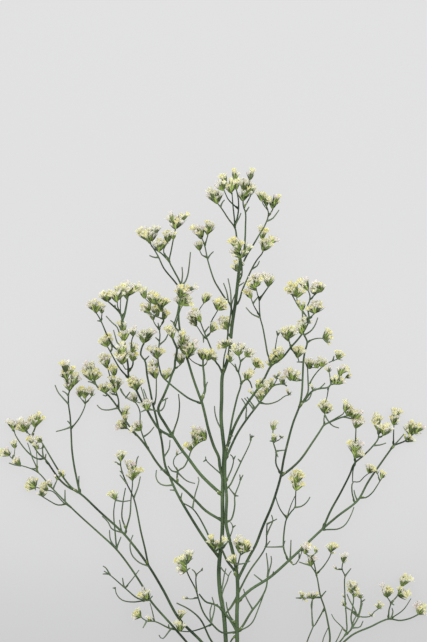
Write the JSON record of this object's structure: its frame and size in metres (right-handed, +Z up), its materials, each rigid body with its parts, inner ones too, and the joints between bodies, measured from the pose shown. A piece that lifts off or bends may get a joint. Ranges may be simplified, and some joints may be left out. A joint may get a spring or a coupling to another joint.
{
  "type": "statice stem",
  "caption": "Cut stem of branched pale yellow statice: a thin green main stem, forked bare branches, needle-like sterile twigs and small papery flower heads, lying on its side.",
  "frame": {"origin": "on the table under the middle of the lying stem's bounding box", "axes": "+Y from the cut end towards the flowering top, +Z up from the table, +X to the right seen from above"},
  "size_m": [0.3434, 0.6044, 0.0859],
  "materials": {
    "stem": "plant tissue, matt, finely ribbed mid green",
    "sterile_twig": "plant tissue, matt greyish green, needle thin",
    "bract": "plant tissue, matt yellow green to olive",
    "flower_head": "dry papery cream calyx, matt",
    "petal": "thin matt pale yellow petal"
  },
  "bodies": {
    "root": {"main_stem": "stem", "second_stem": "stem", "branch_far_left": "stem", "branch_low_left": "stem", "branch_mid_left": "stem", "branch_inner_left": "stem", "branch_upper_left": "stem", "branch_outer_left": "stem", "branch_crown_left": "stem", "branch_right": "stem", "branch_upper_right": "stem", "branch_far_right": "stem", "branch_rising_right": "stem", "branch_low_right": "stem", "spray_crown": "flower_head", "spray_top_right": "flower_head", "spray_right_of_top": "flower_head", "spray_left_of_top": "flower_head", "spray_over_axis": "flower_head", "spray_shoulder_left": "flower_head", "spray_shoulder_right": "flower_head", "spray_left_a": "flower_head", "spray_left_b": "flower_head", "spray_left_c": "flower_head", "spray_left_d": "flower_head", "spray_arc": "flower_head", "spray_centre_left": "flower_head", "spray_centre_a": "flower_head", "spray_centre_b": "flower_head", "spray_centre_c": "flower_head", "spray_centre_d": "flower_head", "spray_centre_right": "flower_head", "spray_right_heads": "flower_head", "spray_high_right_a": "flower_head", "spray_high_right_b": "flower_head", "spray_plume_a": "flower_head", "spray_plume_b": "flower_head", "spray_outer_right": "flower_head", "spray_low_centre_a": "flower_head", "spray_low_centre_b": "flower_head", "spray_far_right": "flower_head", "spray_under_right": "flower_head", "spray_far_left_a": "flower_head", "spray_far_left_b": "flower_head", "spray_low_left": "flower_head", "spray_tall_left": "flower_head", "spray_under_left": "flower_head", "spray_mid_left_a": "flower_head", "spray_mid_left_b": "flower_head", "spray_low_tall_left": "flower_head", "spray_low_pair_left": "flower_head", "spray_low_single_left": "flower_head", "spray_hook_left": "flower_head", "spray_foot_left": "flower_head", "spray_left_of_foot": "flower_head", "spray_foot_main": "flower_head", "spray_foot_second": "flower_head", "spray_low_right_tall": "flower_head", "spray_low_right_far": "flower_head", "spray_low_right_mid": "flower_head"}
  },
  "joints": []
}
